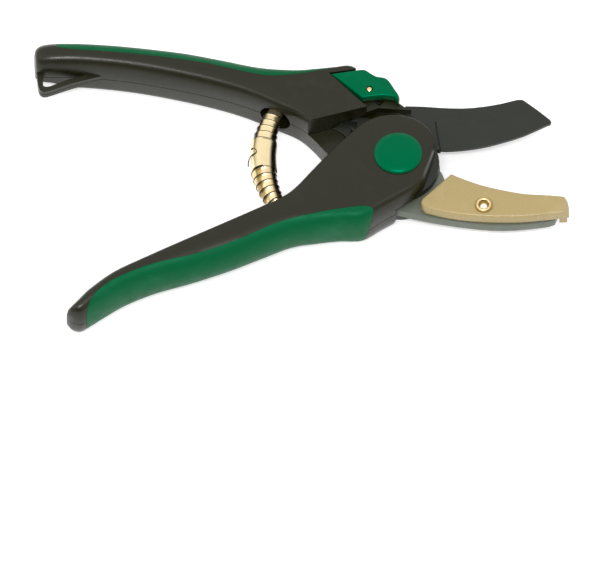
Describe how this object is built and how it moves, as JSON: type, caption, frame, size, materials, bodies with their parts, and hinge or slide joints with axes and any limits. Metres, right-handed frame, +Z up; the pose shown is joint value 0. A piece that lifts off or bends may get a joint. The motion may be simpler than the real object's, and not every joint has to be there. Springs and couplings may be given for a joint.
{
  "type": "anvil pruners",
  "caption": "One-handed anvil pruners with curved two-tone handles, a straight-cut blade closing on a flat anvil, a return spring and a sliding lock.",
  "frame": {"origin": "on the pivot axis, at the flat underside of the bottom pivot cap on which the head rests", "axes": "+X towards the blade's tip along the tool, +Y towards the upper handle, +Z up along the pivot through the tool's thickness"},
  "size_m": [0.2058, 0.1248, 0.0219],
  "materials": {
    "handle_shell": "black glass-filled nylon, fine grain with a satin sheen",
    "soft_grip": "dark green soft-touch rubber, matte",
    "pivot_cap": "green moulded plastic, lightly polished",
    "lock_catch": "green moulded plastic, lightly polished",
    "blade": "carbon steel with a dark non-stick coating",
    "jaw_plate": "grey coated steel plate",
    "anvil": "tan coated soft metal, matte",
    "brass_fixing": "bright brass",
    "spring": "brass-plated strip steel, bright",
    "steel_fixing": "zinc-plated steel"
  },
  "bodies": {
    "lower_body": {"lower_shell_top": "handle_shell", "lower_shell_bottom": "handle_shell", "lower_grip": "soft_grip", "blade": "blade", "pivot_bolt": "steel_fixing", "pivot_washer": "steel_fixing", "pivot_cap_top": "pivot_cap", "lower_screw_1": "steel_fixing", "lower_screw_2": "steel_fixing", "lower_screw_3": "steel_fixing", "return_spring": "spring"},
    "upper_body": {"upper_shell_top": "handle_shell", "upper_shell_bottom": "handle_shell", "upper_grip": "soft_grip", "jaw_plate": "jaw_plate", "anvil": "anvil", "anvil_screw": "brass_fixing", "anvil_nut": "brass_fixing", "pivot_nut": "steel_fixing", "pivot_cap_bottom": "pivot_cap", "upper_screw_1": "steel_fixing", "upper_screw_2": "steel_fixing", "upper_screw_3": "steel_fixing"},
    "lock_body": {"lock_catch": "lock_catch", "lock_pin": "brass_fixing", "lock_tongue": "steel_fixing"}
  },
  "joints": [
    {"name": "handle_hinge", "type": "hinge", "parent": "lower_body", "child": "upper_body", "pos_m": [0, 0, 0.01], "axis": [0, 0, 1], "range_deg": [0, 32], "stiffness_Nm_per_rad": 1.6, "springref_deg": -11.46, "deforming": ["return_spring"]},
    {"name": "lock_slide", "type": "slide", "parent": "upper_body", "child": "lock_body", "axis": [0.7337, -0.6794, 0], "range_m": [0, 0.005]}
  ]
}
